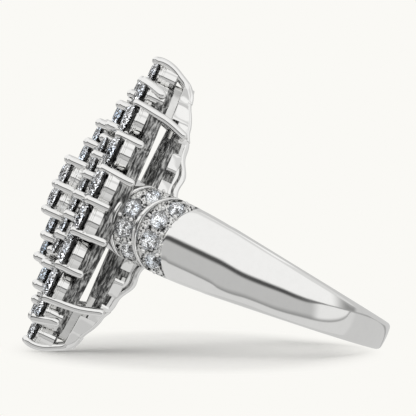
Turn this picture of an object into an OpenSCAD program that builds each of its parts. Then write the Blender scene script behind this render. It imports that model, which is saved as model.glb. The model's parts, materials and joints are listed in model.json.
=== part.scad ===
// Cluster ring: a navette head of small round brilliants on a tapered, domed band.
// The ring lies on the head's lower tip and the back of the band.
// Along the finger is u, across the head is v, and out of the head, from the finger's axis, is w.

/* [Band] */
// Radius of the finger hole
finger_r = 8.65; // [8.6:0.05:8.75]
// Thickness of the band at the middle of its dome
band_thick = 1.6; // [1.5:0.05:1.7]
// Width of the band at the shoulders
shoulder_w = 5.6; // [5.4:0.1:5.8]
// Width of the band at its back
back_w = 2.1; // [1.9:0.1:2.3]
// Radius of the band's dome across its width
dome_r = 5.7; // [5.4:0.1:6.2]
// Angle above the band's widest place where the shoulders leave its circle
shoulder_angle = 25; // [24:0.5:26]

/* [Shoulder crescents] */
// Height of the first raised rim, under the head
rim_1_top = 12.35; // [12.2:0.05:12.4]
// Height of the second raised rim
rim_2_top = 10.6; // [10.5:0.05:10.7]
// Height of the rounded end of the plain band
plain_top = 8.35; // [8.25:0.05:8.45]
// Width of a raised rim
rim_w = 0.42; // [0.36:0.02:0.46]
// Depth of the paved beds below the rims
bed_depth = 0.4; // [0.3:0.05:0.5]

/* [Head] */
// Length of the head's plate, tip to tip
head_len = 22.6; // [22.4:0.1:22.8]
// Width of the head's plate
head_w = 11.5; // [11.3:0.1:11.6]
// Height of the plate's upper face
plate_top = 12.45; // [12.42:0.01:12.5]
// Thickness of the plate
plate_thick = 0.9; // [0.8:0.05:1]
// Open slot between the plate and the gallery
slot_h = 1.1; // [1:0.05:1.2]
// Wall of a collet around its stone
collet_wall = 0.12; // [0.1:0.01:0.14]
// Radius of the long prongs and the tip prongs
prong_r = 0.3; // [0.28:0.01:0.32]
// Radius of the short prongs
short_r = 0.34; // [0.32:0.01:0.36]
// Gap between a stone and the metal
seat_gap = 0.04; // [0.03:0.01:0.05]

/* [Hidden] */
$fn = 48;
tall = 20;

// Columns of the tables: along u, along v, then the diameter and girdle of a stone or the tip of a prong
U = 0;
V = 1;
DIA = 2;
TIP = 2;
GIRDLE = 3;

// Stones of one quarter of the head
CENTER_STONES = [[0.95, 0.86, 1.7, 16.1]];
RIDGE_STONES = [[2.85, 0, 1.75, 15.4], [4.5, 0, 1.5, 15.15], [6.5, 0, 1.9, 14.35]];
INNER_STONES = [[0.8, 2.56, 1.55, 14.75], [2.38, 2.38, 1.55, 14.75], [3.9, 1.72, 1.5, 14.6]];
OUTER_STONES = [
    [1.35, 4.55, 2.35, 14.0],
    [4.0, 3.95, 2.35, 13.95],
    [6.58, 2.8, 2.2, 13.85],
    [8.66, 1.42, 1.95, 13.68],
    [10.35, 0, 1.65, 13.37]
];

// Upright prongs of one quarter of the head
PRONGS = [
    [0, 5.02, 14.45], [2.44, 5.0, 14.4], [5.12, 4.2, 14.3], [9.25, 1.9, 14],
    [0, 3.1, 15.25], [1.6, 3.02, 15.25], [3.2, 2.55, 15.2], [4.6, 1.25, 15.1],
    [0, 1.5, 16.6], [2.0, 1.12, 16.55], [3.72, 0.66, 15.85], [5.35, 0.62, 15.65],
    [5.5, 1.6, 15.1], [7.2, 0.86, 14.85], [8.25, 0, 14.5]
];

// Long prong from its tip to the gallery's lower edge: u, v and w of its ends and its bend
LONG_PATH = [[7.8, 2.75, 14], [7.55, 3.55, 11.8], [6.95, 3.75, 9.55]];
// Tip prong: its place across the head, and u and w of its bends from the front to the gallery
TIP_V = 0.48;
TIP_PATH = [[11.1, 13.8], [11.25, 12.35], [10.2, 10.1]];
BEND_R = prong_r + 0.03;
// The rounded end of a tip prong reaches this far past the end of its path
TIP_REACH = 0.1;
// Shares of a prong's radius at its rounded end, and how far below the end they lie
PRONG_END = [[1, 0.2], [0.75, 0.06], [0.4, 0]];

// Lower edge of the gallery from the middle to a tip: u and w
GALLERY_STEPS = [[0, 8.1], [4.3, 8.45], [5.1, 8.65], [6.1, 9.0], [7.0, 9.25], [8.2, 9.5], [9.3, 10.05]];
GALLERY_WINDOWS = [3.95, 6.1];
WINDOW_W = 0.8;
WINDOW_Z = [9.2, 9.95];
GALLERY_INSET = 0.25;
GALLERY_WALL = 0.95;
GALLERY_CUT = 1.3;
// The hollow in the gallery is shorter than the gallery by this many walls
TIP_WALLS = 2.4;
// Towards the tips the gallery's wall is higher by this
LOBE_U = 7.9;
LOBE_RISE = 0.55;
// The wall that closes the slot from there on: depth of its outer and its inner face, and where it ends
INFILL = 0.32;
INFILL_BACK = 0.88;
INFILL_START = 8;
INFILL_END = 10.05;
// Length that is cut off both points of the plate together
PLATE_CUT = 0.7;
// Radius of the hole behind a stone, and how far below the girdle it starts, as shares of its diameter
LIGHT_HOLE = 0.35;
LIGHT_TOP = 0.15;
// How far the collets reach into the plate, and stay below the girdles
COLLET_SINK = 0.3;

// A round brilliant as shares of its diameter
HALF_GIRDLE = 0.015;
PAVILION = 0.43;
CROWN = 0.155;
TABLE_R = 0.285;
// How far each corner of its outline moves for a gap of 1: point, girdle's lower and upper edges, table
POINT_GROW = 1.32;
LOWER_GROW = 0.46;
UPPER_GROW = 0.51;
TABLE_GROW = 1.23;

outer_r = finger_r + band_thick;
core_r = finger_r - 2.6;
plate_low = plate_top - plate_thick;
gallery_top = plate_low - slot_h;
shoulder_len = 9.5;
// Half of the gap between the shoulders' inner faces: w, then v
INNER_FACES = [[6, 5.05], [14, 3.7]];
// The band is drawn this much too wide, and its side outline trims it
SIDE_SPARE = 0.4;
// Distance from the ring's middle where the paved beds begin, and how far they are cut
BED_NEAR = 4.4;
BED_REACH = 6;
// The floor of a bed is drawn from this far behind the shoulder's start
BED_BACK = 3;
RIM_1_ARC = 3.2;
RIM_2_ARC = 3.0;
PLAIN_ARC = 3.4;
// The band begins to narrow here, that far towards the head
TAPER_W = 6.4;

// Both mirror images of a quarter's row, without doubles on an axis
function signs(x) = x == 0 ? [1] : [1, -1];
function whole(rows) = [for (r = rows, i = signs(r[U]), j = signs(r[V])) [i * r[U], j * r[V], r[2], r[3]]];
function numbered(name, rows) = [for (i = [1 : len(rows)]) str(name, "_", i)];

center_all = whole(CENTER_STONES);
ridge_all = whole(RIDGE_STONES);
inner_all = whole(INNER_STONES);
outer_all = whole(OUTER_STONES);
stones = concat(center_all, ridge_all, inner_all, outer_all);
stone_names = concat(
    numbered("center_stone", center_all),
    numbered("ridge_stone", ridge_all),
    numbered("inner_stone", inner_all),
    numbered("outer_stone", outer_all)
);

// How the ring lies: the bends of the lower tip's prongs and the edge of the band's back are level
tip_w = TIP_PATH[1][1];
tip_u = TIP_PATH[1][0];
back_edge_w = outer_r - dome_r + sqrt(pow(dome_r, 2) - pow(back_w / 2, 2));
run = tip_w + back_edge_w;
rise = tip_u - back_w / 2;
tilt = atan(rise / run) + asin(BEND_R / norm([run, rise]));
drop = back_edge_w * sin(tilt) + back_w / 2 * cos(tilt);
// Furthest points to the left and the right of the finger's axis as the ring lies
left_x = TIP_PATH[0][1] * cos(tilt) + TIP_PATH[0][0] * sin(tilt) + TIP_REACH;
right_x = back_edge_w * cos(tilt) + back_w / 2 * sin(tilt);

module rest() {
    translate([(left_x - right_x) / 2, 0, drop]) rotate([0, tilt, 0]) children();
}

// Turns u, v, w into the ring's own frame, with the band's back along +X and the finger along Z
module head_frame() {
    rotate([0, -90, 0]) children();
}

module both_sides() {
    children();
    mirror([0, 1, 0]) children();
}

module each_quarter() {
    for (i = [0, 1], j = [0, 1]) mirror([i, 0, 0]) mirror([0, j, 0]) children();
}

// Extrudes a side view, drawn in x and z, evenly to both sides of the ring's middle
module across(h) {
    rotate([90, 0, 0]) linear_extrude(height = h, center = true) children();
}

// Cross-section of the band: across is the distance from the finger's axis, up is along the finger
module band_section() {
    intersection() {
        translate([outer_r - dome_r, 0]) circle(r = dome_r);
        translate([core_r, -tall / 2]) square([tall, tall]);
        square([tall * 2, shoulder_w + 2 * SIDE_SPARE], center = true);
    }
}

module band_solid() {
    rotate([0, 0, -90 - shoulder_angle])
        rotate_extrude(angle = 180 + 2 * shoulder_angle) band_section();
    both_sides()
        rotate([0, 0, 90 + shoulder_angle]) translate([0, shoulder_len, 0]) rotate([90, 0, 0])
            linear_extrude(height = shoulder_len) band_section();
}

// Side outline of the band, which narrows to its back
module taper_outline() {
    half = shoulder_w / 2;
    slope = (half - back_w / 2) / (TAPER_W + back_edge_w);
    front_x = -rim_1_top - 1;
    end_x = outer_r + SIDE_SPARE;
    end_half = back_w / 2 - slope * (end_x - back_edge_w);
    polygon([
        [front_x, -half], [-TAPER_W, -half], [end_x, -end_half],
        [end_x, end_half], [-TAPER_W, half], [front_x, half]
    ]);
}

// Everything behind an arc that bulges towards the head
module up_to_arc(top, r) {
    translate([r - top, 0]) circle(r = r);
    translate([r - top, 0.1 - r]) square([tall * 2, 2 * r - 0.2]);
}

// Sunk bed between two arcs, down to a floor that keeps the dome's curve
module bed(outer_top, outer_arc, inner_top, inner_arc) {
    difference() {
        translate([0, BED_NEAR + BED_REACH / 2, 0]) across(BED_REACH) difference() {
            up_to_arc(outer_top, outer_arc);
            up_to_arc(inner_top, inner_arc);
        }
        rotate([0, 0, 90 + shoulder_angle]) translate([outer_r - dome_r, -BED_BACK, 0]) rotate([-90, 0, 0])
            cylinder(r = dome_r - bed_depth, h = tall, $fn = 96);
    }
}

// Band and shoulders, open for the finger and between the shoulders
module shank() {
    difference() {
        intersection() {
            band_solid();
            across(tall * 2) intersection() {
                taper_outline();
                up_to_arc(rim_1_top, RIM_1_ARC);
            }
        }
        cylinder(r = finger_r, h = tall, center = true, $fn = 128);
        both_sides() linear_extrude(height = tall, center = true) polygon([
            [-INNER_FACES[0][0], -1], [-INNER_FACES[0][0], INNER_FACES[0][1]],
            [-INNER_FACES[1][0], INNER_FACES[1][1]], [-INNER_FACES[1][0], -1]
        ]);
        both_sides() {
            bed(rim_1_top - rim_w, RIM_1_ARC, rim_2_top, RIM_2_ARC);
            bed(rim_2_top - rim_w, RIM_2_ARC, plain_top, PLAIN_ARC);
        }
    }
}

// Pointed oval of two arcs, with its points cut off square
module navette(length, width, cut = 0) {
    r = (pow(length, 2) + pow(width, 2)) / (4 * width);
    intersection() {
        translate([0, width / 2 - r]) circle(r = r, $fn = 180);
        translate([0, r - width / 2]) circle(r = r, $fn = 180);
        square([length - cut, width * 2], center = true);
    }
}

module plate() {
    translate([0, 0, plate_low]) linear_extrude(height = plate_thick) navette(head_len, head_w, PLATE_CUT);
}

module collet(s) {
    low = plate_top - COLLET_SINK;
    translate([s[U], s[V], low]) cylinder(r = s[DIA] / 2 + collet_wall, h = s[GIRDLE] - COLLET_SINK - low);
}

// Upright prong with a rounded tip
module prong(h, r) {
    rotate_extrude(angle = 360)
        polygon(concat([[0, 0], [r, 0]], [for (e = PRONG_END) [r * e[0], h - e[1]]], [[0, h]]));
}

// Prong from one point of a path to the next, with its rounded tip at the first
module prong_along(from, to) {
    step = from - to;
    translate(to) rotate([0, acos(step[2] / norm(step)), atan2(step[1], step[0])]) prong(norm(step), prong_r);
}

// Prong with one bend, through the three points of a path
module bent_prong(path) {
    prong_along(path[0], path[1]);
    translate(path[1]) sphere(r = BEND_R);
    prong_along(path[1], path[2]);
}

module long_prong() {
    bent_prong(LONG_PATH);
}

module tip_prong() {
    bent_prong([for (p = TIP_PATH) [p[0], TIP_V, p[1]]]);
}

// Side outline of the gallery: stepped below, and higher at the tips
module gallery_outline() {
    last = len(GALLERY_STEPS) - 1;
    right = concat(GALLERY_STEPS, [
        [head_len, GALLERY_STEPS[last][1]], [head_len, gallery_top + LOBE_RISE],
        [LOBE_U, gallery_top + LOBE_RISE], [LOBE_U, gallery_top]
    ]);
    polygon(concat(right, [for (i = [len(right) - 1 : -1 : 1]) [-right[i][0], right[i][1]]]));
}

// Walls between the lobes and the plate, which close the slot towards the tips
module tip_walls(length, width) {
    translate([0, 0, gallery_top - 0.05]) linear_extrude(height = slot_h + 0.1) for (side = [0, 1])
        mirror([side, 0]) intersection() {
            difference() {
                navette(length - TIP_WALLS * INFILL, width - 2 * INFILL);
                navette(length - TIP_WALLS * INFILL_BACK, width - 2 * INFILL_BACK);
            }
            translate([INFILL_START, -width]) square([INFILL_END - INFILL_START, 2 * width]);
        }
}

module gallery() {
    length = head_len - 2 * GALLERY_INSET;
    width = head_w - 2 * GALLERY_INSET;
    tip_walls(length, width);
    difference() {
        intersection() {
            linear_extrude(height = tall) difference() {
                navette(length, width, GALLERY_CUT);
                navette(length - TIP_WALLS * GALLERY_WALL, width - 2 * GALLERY_WALL);
            }
            across(tall) gallery_outline();
        }
        for (u = GALLERY_WINDOWS, side = [-1, 1])
            translate([side * u, 0, (WINDOW_Z[0] + WINDOW_Z[1]) / 2])
                cube([WINDOW_W, tall, WINDOW_Z[1] - WINDOW_Z[0]], center = true);
    }
}

// Half outline of a round brilliant, with its girdle at height 0; grow widens it all round
module brilliant_section(dia, grow) {
    girdle = HALF_GIRDLE * dia;
    table = girdle + CROWN * dia + TABLE_GROW * grow;
    polygon([
        [0, -girdle - PAVILION * dia - POINT_GROW * grow],
        [dia / 2 + grow, -girdle - LOWER_GROW * grow],
        [dia / 2 + grow, girdle + UPPER_GROW * grow],
        [TABLE_R * dia, table],
        [0, table]
    ]);
}

module brilliant(s, grow = 0) {
    translate([s[U], s[V], s[GIRDLE]]) rotate_extrude(angle = 360) brilliant_section(s[DIA], grow);
}

// Seat of a stone, with the hole that lets light in from behind
module seat(s) {
    low = plate_low - 1;
    brilliant(s, seat_gap);
    translate([s[U], s[V], low]) cylinder(r = s[DIA] * LIGHT_HOLE, h = s[GIRDLE] - s[DIA] * LIGHT_TOP - low);
}

module head() {
    prong_low = plate_low + 0.3;
    difference() {
        union() {
            plate();
            for (s = stones) collet(s);
            for (p = whole(PRONGS)) translate([p[U], p[V], prong_low]) prong(p[TIP] - prong_low, short_r);
            each_quarter() {
                long_prong();
                tip_prong();
            }
        }
        for (s = stones) seat(s);
    }
}

module mounting() {
    color("gainsboro") rest() {
        shank();
        head_frame() {
            head();
            gallery();
        }
    }
}

module stone(s) {
    color("aliceblue") rest() head_frame() brilliant(s);
}

mounting();
for (i = [0 : len(stones) - 1])
    stone(stones[i]);
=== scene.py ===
"""A cluster ring dressed for show: polished white metal around a navette head of round brilliants.

Lengths are millimetres in the head's own axes until a mesh is built: u runs along the finger, v
across the head, and w out of the head, all from the middle of the finger hole.
"""

import json
import logging
import math
import random
from collections.abc import Callable, Iterable, Sequence
from dataclasses import dataclass
from enum import Enum

import bmesh
import bpy
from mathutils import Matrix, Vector


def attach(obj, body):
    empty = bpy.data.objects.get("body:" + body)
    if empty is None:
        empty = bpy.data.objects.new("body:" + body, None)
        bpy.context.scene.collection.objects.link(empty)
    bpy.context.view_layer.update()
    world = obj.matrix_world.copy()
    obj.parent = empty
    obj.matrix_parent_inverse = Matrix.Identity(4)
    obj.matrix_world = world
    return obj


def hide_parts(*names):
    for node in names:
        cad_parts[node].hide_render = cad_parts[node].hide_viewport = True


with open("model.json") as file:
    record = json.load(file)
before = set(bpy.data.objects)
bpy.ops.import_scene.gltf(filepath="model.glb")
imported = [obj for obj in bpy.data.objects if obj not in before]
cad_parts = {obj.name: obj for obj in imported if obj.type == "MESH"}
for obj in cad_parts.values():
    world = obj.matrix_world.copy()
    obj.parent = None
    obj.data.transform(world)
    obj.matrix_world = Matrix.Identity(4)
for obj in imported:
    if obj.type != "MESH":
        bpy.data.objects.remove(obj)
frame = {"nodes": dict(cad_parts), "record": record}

LOG = logging.getLogger("cluster_ring")
MM = 0.001
METAL_NODE = "mounting"
BODY = "root"

# Radius in millimetres below which a ring of points is one point, and distance in metres to weld within
POINTED = 1e-6
WELD = 1e-8

Point = tuple[float, float, float]
# Points of a closed cross-section in space, and pairs of numbers that draw one
Ring = list[Point]
Section = list[tuple[float, float]]
# The height of a line at each place along the head or the finger
Height = Callable[[float], float]
# A table that is read between its rows
Rows = Sequence[tuple[float, float]]
# What a shader socket takes: a node's output or a constant
Signal = bpy.types.NodeSocket | float
Shade = bpy.types.NodeSocket | Sequence[float]
Sockets = bpy.types.bpy_prop_collection


def mix(a: float, b: float, t: float) -> float:
    """Returns the value at share t of the way from a to b."""
    return a + (b - a) * t


def steps(first: float, last: float, count: int) -> list[float]:
    """Returns count + 1 evenly spaced values from first to last."""
    return [mix(first, last, i / count) for i in range(count + 1)]


def table(rows: Rows, x: float) -> float:
    """Reads a table of (x, y) rows between its rows.

    Args:
        rows: Pairs in rising order of x.
        x: Where to read; beyond either end the end row holds.

    Returns:
        The y at x.
    """
    if x <= rows[0][0]:
        return rows[0][1]
    for (x0, y0), (x1, y1) in zip(rows, rows[1:]):
        if x <= x1:
            return mix(y0, y1, (x - x0) / (x1 - x0))
    return rows[-1][1]


def squarish(turn: float, power: float) -> tuple[float, float]:
    """Finds a corner of a section of radius 1.

    Args:
        turn: Its angle in radians.
        power: 2 for a circle; more for flatter sides.

    Returns:
        Its place along both axes of the section.
    """
    a, b = math.cos(turn), math.sin(turn)
    return math.copysign(abs(a) ** (2 / power), a), math.copysign(abs(b) ** (2 / power), b)


def mirror_signs(point: Sequence[float]) -> list[tuple[int, int]]:
    """Lists the mirror images of a point in the four quarters of the head.

    Args:
        point: The point, which has one image only across an axis that it lies on.

    Returns:
        Signs of u and v.
    """
    return [(i, j) for i in ((1, -1) if point[0] else (1,)) for j in ((1, -1) if point[1] else (1,))]


def flowing(path: Sequence[Sequence[float]], parts: int) -> list[Vector]:
    """Draws a smooth line through the points of a path.

    Args:
        path: Points that the line passes.
        parts: Steps between two of them.

    Returns:
        The line's points.
    """
    spots = [Vector(p) for p in path]
    spots = [2 * spots[0] - spots[1]] + spots + [2 * spots[-1] - spots[-2]]
    line: list[Vector] = []
    for a, b, c, d in zip(spots, spots[1:], spots[2:], spots[3:]):
        for t in steps(0.0, 1.0, parts)[:-1]:
            bend = (2 * a - 5 * b + 4 * c - d) * t ** 2 + (3 * b - a - 3 * c + d) * t ** 3
            line.append(b + ((c - a) * t + bend) / 2)
    return line + [spots[-2]]


@dataclass(frozen=True)
class HeadAxes:
    """Where the head's axes lie in the frame."""

    origin: Vector
    u: Vector
    v: Vector
    w: Vector

    @classmethod
    def from_record(cls, record: dict) -> "HeadAxes":
        """Reads the axes from the finger hole's mount.

        Args:
            record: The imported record.

        Returns:
            The axes, with u along the finger and w out of the head.
        """
        bore = record["mounts"][0]
        u = Vector(bore["axis"]).normalized()
        v = Vector((0.0, 1.0, 0.0))
        return cls(Vector(bore["pos_m"]), u, v, u.cross(v))

    def place(self, point: Iterable[float]) -> Vector:
        """Turns a point in head axes, in millimetres, into metres in the frame.

        Args:
            point: Its u, v and w.

        Returns:
            The same point in the frame.
        """
        u, v, w = point
        return self.origin + MM * (u * self.u + v * self.v + w * self.w)

    def local(self, point: Vector) -> Vector:
        """Turns a point of the frame into head axes, in millimetres.

        Args:
            point: A point in metres.

        Returns:
            Its u, v and w.
        """
        step = (point - self.origin) / MM
        return Vector((step.dot(self.u), step.dot(self.v), step.dot(self.w)))


AXES = HeadAxes.from_record(frame["record"])


@dataclass(frozen=True)
class StonePlace:
    """A stone's seat in the head: its middle at the girdle, and its diameter."""

    node: str
    u: float
    v: float
    w: float
    dia: float

    @classmethod
    def of_node(cls, name: str, obj: bpy.types.Object) -> "StonePlace":
        """Measures a stone of the CAD model.

        Args:
            name: The node's name.
            obj: The node's object.

        Returns:
            The stone's place.
        """
        corners = [AXES.local(vertex.co) for vertex in obj.data.vertices]
        low = [min(c[i] for c in corners) for i in range(3)]
        high = [max(c[i] for c in corners) for i in range(3)]
        dia = high[0] - low[0]
        girdle = low[2] + (Cut.HALF_GIRDLE + Cut.PAVILION) * dia
        return cls(name, (low[0] + high[0]) / 2, (low[1] + high[1]) / 2, girdle, dia)


class Cut:
    """Proportions of a round brilliant, as shares of its diameter."""

    HALF_GIRDLE = 0.015
    PAVILION = 0.43
    CROWN = 0.155
    TABLE_R = 0.285
    # Share of the way from the table's edge to the girdle that a star facet reaches
    STAR = 0.5
    # Share of the pavilion's radius where the lower halves of the facets end
    LOWER_HALF = 0.24
    SIDES = 8


class Wiring:
    """Adds shader nodes to a tree and joins them."""

    def __init__(self, tree: bpy.types.NodeTree) -> None:
        """Keeps the tree to work on."""
        self.tree = tree

    def node(self, kind: str, **settings: object) -> bpy.types.Node:
        """Adds a node.

        Args:
            kind: Blender's name for the node's type.
            settings: Properties to set on it.

        Returns:
            The node.
        """
        made = self.tree.nodes.new(kind)
        for name, value in settings.items():
            setattr(made, name, value)
        return made

    def feed(self, socket: bpy.types.NodeSocket, value: Signal | None) -> None:
        """Joins a socket to a value's output, or sets it to a constant.

        Args:
            socket: The input to fill.
            value: An output socket or a constant; None leaves the input alone.
        """
        if isinstance(value, bpy.types.NodeSocket):
            self.tree.links.new(value, socket)
        elif value is not None:
            socket.default_value = value

    def math(self, operation: str, a: Signal, b: Signal | None = None,
             c: Signal | None = None) -> bpy.types.NodeSocket:
        """Works out one step of arithmetic.

        Args:
            operation: Blender's name for it, such as "ADD".
            a: First value or output.
            b: Second value or output.
            c: Third value or output.

        Returns:
            The result's output.
        """
        made = self.node("ShaderNodeMath", operation=operation)
        for socket, value in zip(made.inputs, (a, b, c)):
            self.feed(socket, value)
        return made.outputs[0]

    def span(self, value: Signal, low: float, high: float, first: float = 0.0, last: float = 1.0,
             smooth: bool = True) -> bpy.types.NodeSocket:
        """Maps a range of values onto another, and holds beyond its ends.

        Args:
            value: What to map.
            low: Start of the range.
            high: End of the range.
            first: Result at the start.
            last: Result at the end.
            smooth: Eases in and out between them.

        Returns:
            The result's output.
        """
        kind = "SMOOTHSTEP" if smooth else "LINEAR"
        made = self.node("ShaderNodeMapRange", interpolation_type=kind, clamp=True)
        for name, number in (("From Min", low), ("From Max", high), ("To Min", first), ("To Max", last)):
            made.inputs[name].default_value = number
        self.feed(made.inputs["Value"], value)
        return made.outputs["Result"]

    def bent(self, value: Signal, rows: Rows, scale: float = 180.0) -> bpy.types.NodeSocket:
        """Reads a table of (x, y) rows between its rows.

        Args:
            value: The x to read at.
            rows: Pairs in rising order of x; both stay between -scale and scale.
            scale: The largest size of a number in the table.

        Returns:
            The y's output.
        """
        made = self.node("ShaderNodeFloatCurve")
        line = made.mapping.curves[0]
        while len(line.points) < len(rows):
            line.points.new(0.5, 0.5)
        for spot, (x, y) in zip(line.points, rows):
            spot.location = (0.5 + x / scale / 2, 0.5 + y / scale / 2)
            spot.handle_type = "AUTO_CLAMPED"
        made.mapping.update()
        self.feed(made.inputs["Value"], self.math("MULTIPLY_ADD", value, 0.5 / scale, 0.5))
        return self.math("MULTIPLY_ADD", made.outputs["Value"], 2 * scale, -scale)

    def pick(self, share: Signal, a: Signal, b: Signal) -> bpy.types.NodeSocket:
        """Mixes two numbers.

        Args:
            share: How much of the second, 0 to 1.
            a: First number.
            b: Second number.

        Returns:
            The mixed number's output.
        """
        made = self.node("ShaderNodeMix", data_type="FLOAT")
        self.feed(made.inputs["Factor"], share)
        self.feed(made.inputs["A"], a)
        self.feed(made.inputs["B"], b)
        return made.outputs["Result"]

    def blend(self, share: Signal, a: Shade, b: Shade) -> bpy.types.NodeSocket:
        """Mixes two colours.

        Args:
            share: How much of the second, 0 to 1.
            a: First colour.
            b: Second colour.

        Returns:
            The mixed colour's output.
        """
        made = self.node("ShaderNodeMix", data_type="RGBA")
        self.feed(made.inputs["Factor"], share)
        for name, value in (("A", a), ("B", b)):
            self.feed(made.inputs[name], value if isinstance(value, bpy.types.NodeSocket) else rgba(value))
        return made.outputs["Result"]

    def along(self, vector: Signal, axis: Vector) -> bpy.types.NodeSocket:
        """Measures a vector along an axis.

        Args:
            vector: The vector's output.
            axis: The axis.

        Returns:
            The length's output.
        """
        made = self.node("ShaderNodeVectorMath", operation="DOT_PRODUCT")
        self.feed(made.inputs[0], vector)
        made.inputs[1].default_value = axis
        return made.outputs["Value"]

    def scaled(self, color: Point, factor: Signal) -> bpy.types.NodeSocket:
        """Brightens a colour by a factor.

        Args:
            color: The colour.
            factor: The factor's output.

        Returns:
            The result's output.
        """
        made = self.node("ShaderNodeVectorMath", operation="SCALE")
        made.inputs[0].default_value = color
        self.feed(made.inputs["Scale"], factor)
        return made.outputs[0]

    def head_vector(self, stretch: Point = (1.0, 1.0, 1.0)) -> bpy.types.NodeSocket:
        """Gives each point's place along the head's axes, in millimetres.

        Args:
            stretch: Factor on u, v and w.

        Returns:
            The place's output.
        """
        place = self.node("ShaderNodeTexCoord").outputs["Object"]
        joined = self.node("ShaderNodeCombineXYZ")
        for socket, axis, factor in zip(joined.inputs, (AXES.u, AXES.v, AXES.w), stretch):
            self.feed(socket, self.along(place, axis * (factor / MM)))
        return joined.outputs[0]

    def noise(self, vector: Signal, scale: float, detail: float = 2.0,
              rough: float = 0.5) -> bpy.types.NodeSocket:
        """Adds a soft random pattern.

        Args:
            vector: Where to read it.
            scale: Its features for each unit of the vector.
            detail: How many finer layers it has.
            rough: How strong the finer layers are.

        Returns:
            The pattern's output, about 0.5 on average.
        """
        made = self.node("ShaderNodeTexNoise")
        self.feed(made.inputs["Vector"], vector)
        made.inputs["Scale"].default_value = scale
        made.inputs["Detail"].default_value = detail
        made.inputs["Roughness"].default_value = rough
        return made.outputs["Fac"]


def rgba(color: Sequence[float]) -> tuple[float, ...]:
    """Adds full opacity to a colour of three numbers."""
    return (*color, 1.0) if len(color) == 3 else tuple(color)


@dataclass(frozen=True)
class Effect:
    """A node group that finishes use, built once."""

    name: str
    inputs: tuple[tuple[str, float], ...]
    outputs: tuple[str, ...]

    def tree(self) -> bpy.types.NodeTree:
        """Gives the group, made at its first use.

        Returns:
            The group's node tree.
        """
        made = bpy.data.node_groups.get(self.name)
        if made:
            return made
        made = bpy.data.node_groups.new(self.name, "ShaderNodeTree")
        for name, value in self.inputs:
            socket = made.interface.new_socket(name=name, in_out="INPUT", socket_type="NodeSocketFloat")
            socket.default_value = value
        for name in self.outputs:
            made.interface.new_socket(name=name, in_out="OUTPUT", socket_type="NodeSocketFloat")
        wires = Wiring(made)
        self.draw(wires, wires.node("NodeGroupInput").outputs, wires.node("NodeGroupOutput").inputs)
        return made

    def draw(self, wires: Wiring, given: Sockets, wanted: Sockets) -> None:
        """Fills the group from its inputs to its outputs; each effect has its own way."""
        raise NotImplementedError

    def use(self, wires: Wiring, **values: float) -> Sockets:
        """Places the group in a material.

        Args:
            wires: The material's wiring.
            values: Its inputs, by name.

        Returns:
            What it puts out.
        """
        placed = wires.node("ShaderNodeGroup", node_tree=self.tree())
        for name, value in values.items():
            placed.inputs[name].default_value = value
        return placed.outputs


@dataclass(frozen=True)
class PolishMarks(Effect):
    """Fine wheel marks and the slow waves of a hand-polished surface."""

    name: str = "polish_marks"
    inputs: tuple[tuple[str, float], ...] = (("Waves", 1.0), ("Hairs", 0.1))
    outputs: tuple[str, ...] = ("Height", "Haze")
    wave_scale: float = 0.55
    hair_stretch: Point = (9.0, 2.2, 2.2)
    hair_scale: float = 3.0
    haze_scale: float = 1.7
    haze_span: tuple[float, float] = (0.35, 0.75)

    def draw(self, wires: Wiring, given: Sockets, wanted: Sockets) -> None:
        """Sums slow waves and hairlines into a height, and draws a haze.

        Args:
            wires: The group's wiring.
            given: The group's inputs.
            wanted: The sockets to fill.
        """
        waves = wires.noise(wires.head_vector(), self.wave_scale, 1.0)
        hairs = wires.noise(wires.head_vector(self.hair_stretch), self.hair_scale, 3.0, 0.6)
        haze = wires.noise(wires.head_vector(), self.haze_scale, 4.0, 0.6)
        fine = wires.math("MULTIPLY", hairs, given["Hairs"])
        wires.feed(wanted["Height"], wires.math("MULTIPLY_ADD", waves, given["Waves"], fine))
        wires.feed(wanted["Haze"], wires.span(haze, *self.haze_span))


@dataclass(frozen=True)
class CastGrain(Effect):
    """Streaked, pitted skin that casting leaves where no wheel reaches."""

    name: str = "cast_grain"
    inputs: tuple[tuple[str, float], ...] = (("Pits", 0.4),)
    outputs: tuple[str, ...] = ("Height", "Shade")
    streak_stretch: Point = (0.7, 2.6, 5.0)
    streak_scale: float = 1.4
    pit_scale: float = 5.5
    shade_span: tuple[float, float] = (0.4, 0.66)

    def draw(self, wires: Wiring, given: Sockets, wanted: Sockets) -> None:
        """Draws long streaks along the head, broken by pits.

        Args:
            wires: The group's wiring.
            given: The group's inputs.
            wanted: The sockets to fill.
        """
        streaks = wires.noise(wires.head_vector(self.streak_stretch), self.streak_scale, 4.0, 0.6)
        pits = wires.noise(wires.head_vector(), self.pit_scale, 3.0, 0.6)
        wires.feed(wanted["Height"], wires.math("MULTIPLY_ADD", pits, given["Pits"], streaks))
        wires.feed(wanted["Shade"], wires.span(streaks, *self.shade_span))


@dataclass(frozen=True)
class BedShadeSpeckle(Effect):
    """Small bright cuts of the metal and near-black patches of painted shade between the stones of a paved
    bed.
    """

    name: str = "bed_shade_speckle"
    inputs: tuple[tuple[str, float], ...] = (("Dark", 0.5),)
    outputs: tuple[str, ...] = ("Height", "Shade")
    scale: float = 5.0
    edge: float = 0.04

    def draw(self, wires: Wiring, given: Sockets, wanted: Sockets) -> None:
        """Switches between bright and dark by a fine pattern.

        Args:
            wires: The group's wiring.
            given: The group's inputs.
            wanted: The sockets to fill.
        """
        fine = wires.noise(wires.head_vector(), self.scale, 2.0, 0.6)
        over = wires.math("SUBTRACT", fine, given["Dark"])
        wires.feed(wanted["Height"], fine)
        wires.feed(wanted["Shade"], wires.span(over, -self.edge, self.edge))


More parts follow.
